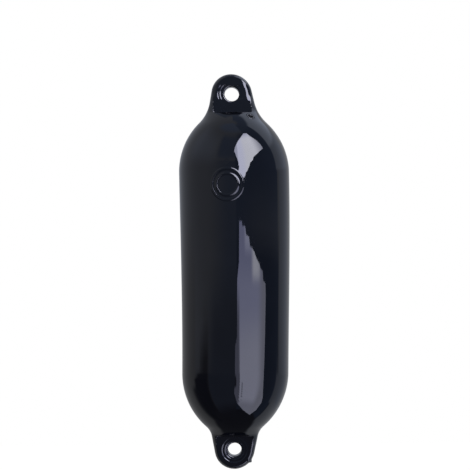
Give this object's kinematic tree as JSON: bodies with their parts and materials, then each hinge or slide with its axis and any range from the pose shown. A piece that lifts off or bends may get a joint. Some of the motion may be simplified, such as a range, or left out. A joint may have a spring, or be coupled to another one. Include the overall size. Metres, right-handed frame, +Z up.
{
  "type": "boat fender",
  "caption": "Small inflatable boat fender in glossy navy vinyl, with a rope eye at each end and a screw-plug valve in its upper shoulder.",
  "frame": {"origin": "centre of the top eye's hole, midway through the tongue", "axes": "+Z up along the barrel towards the top eye, +Y along both eyes' holes towards the back, +X to the right seen from the front, on the valve's side"},
  "size_m": [0.1218, 0.1216, 0.436],
  "materials": {
    "shell_vinyl": "glossy soft PVC, very dark navy, faint orange peel",
    "valve_seat": "satin dark grey plastic",
    "valve_plug": "matt black plastic"
  },
  "bodies": {
    "root": {"fender_shell": "shell_vinyl", "valve_seat": "valve_seat", "valve_plug": "valve_plug"}
  },
  "joints": []
}
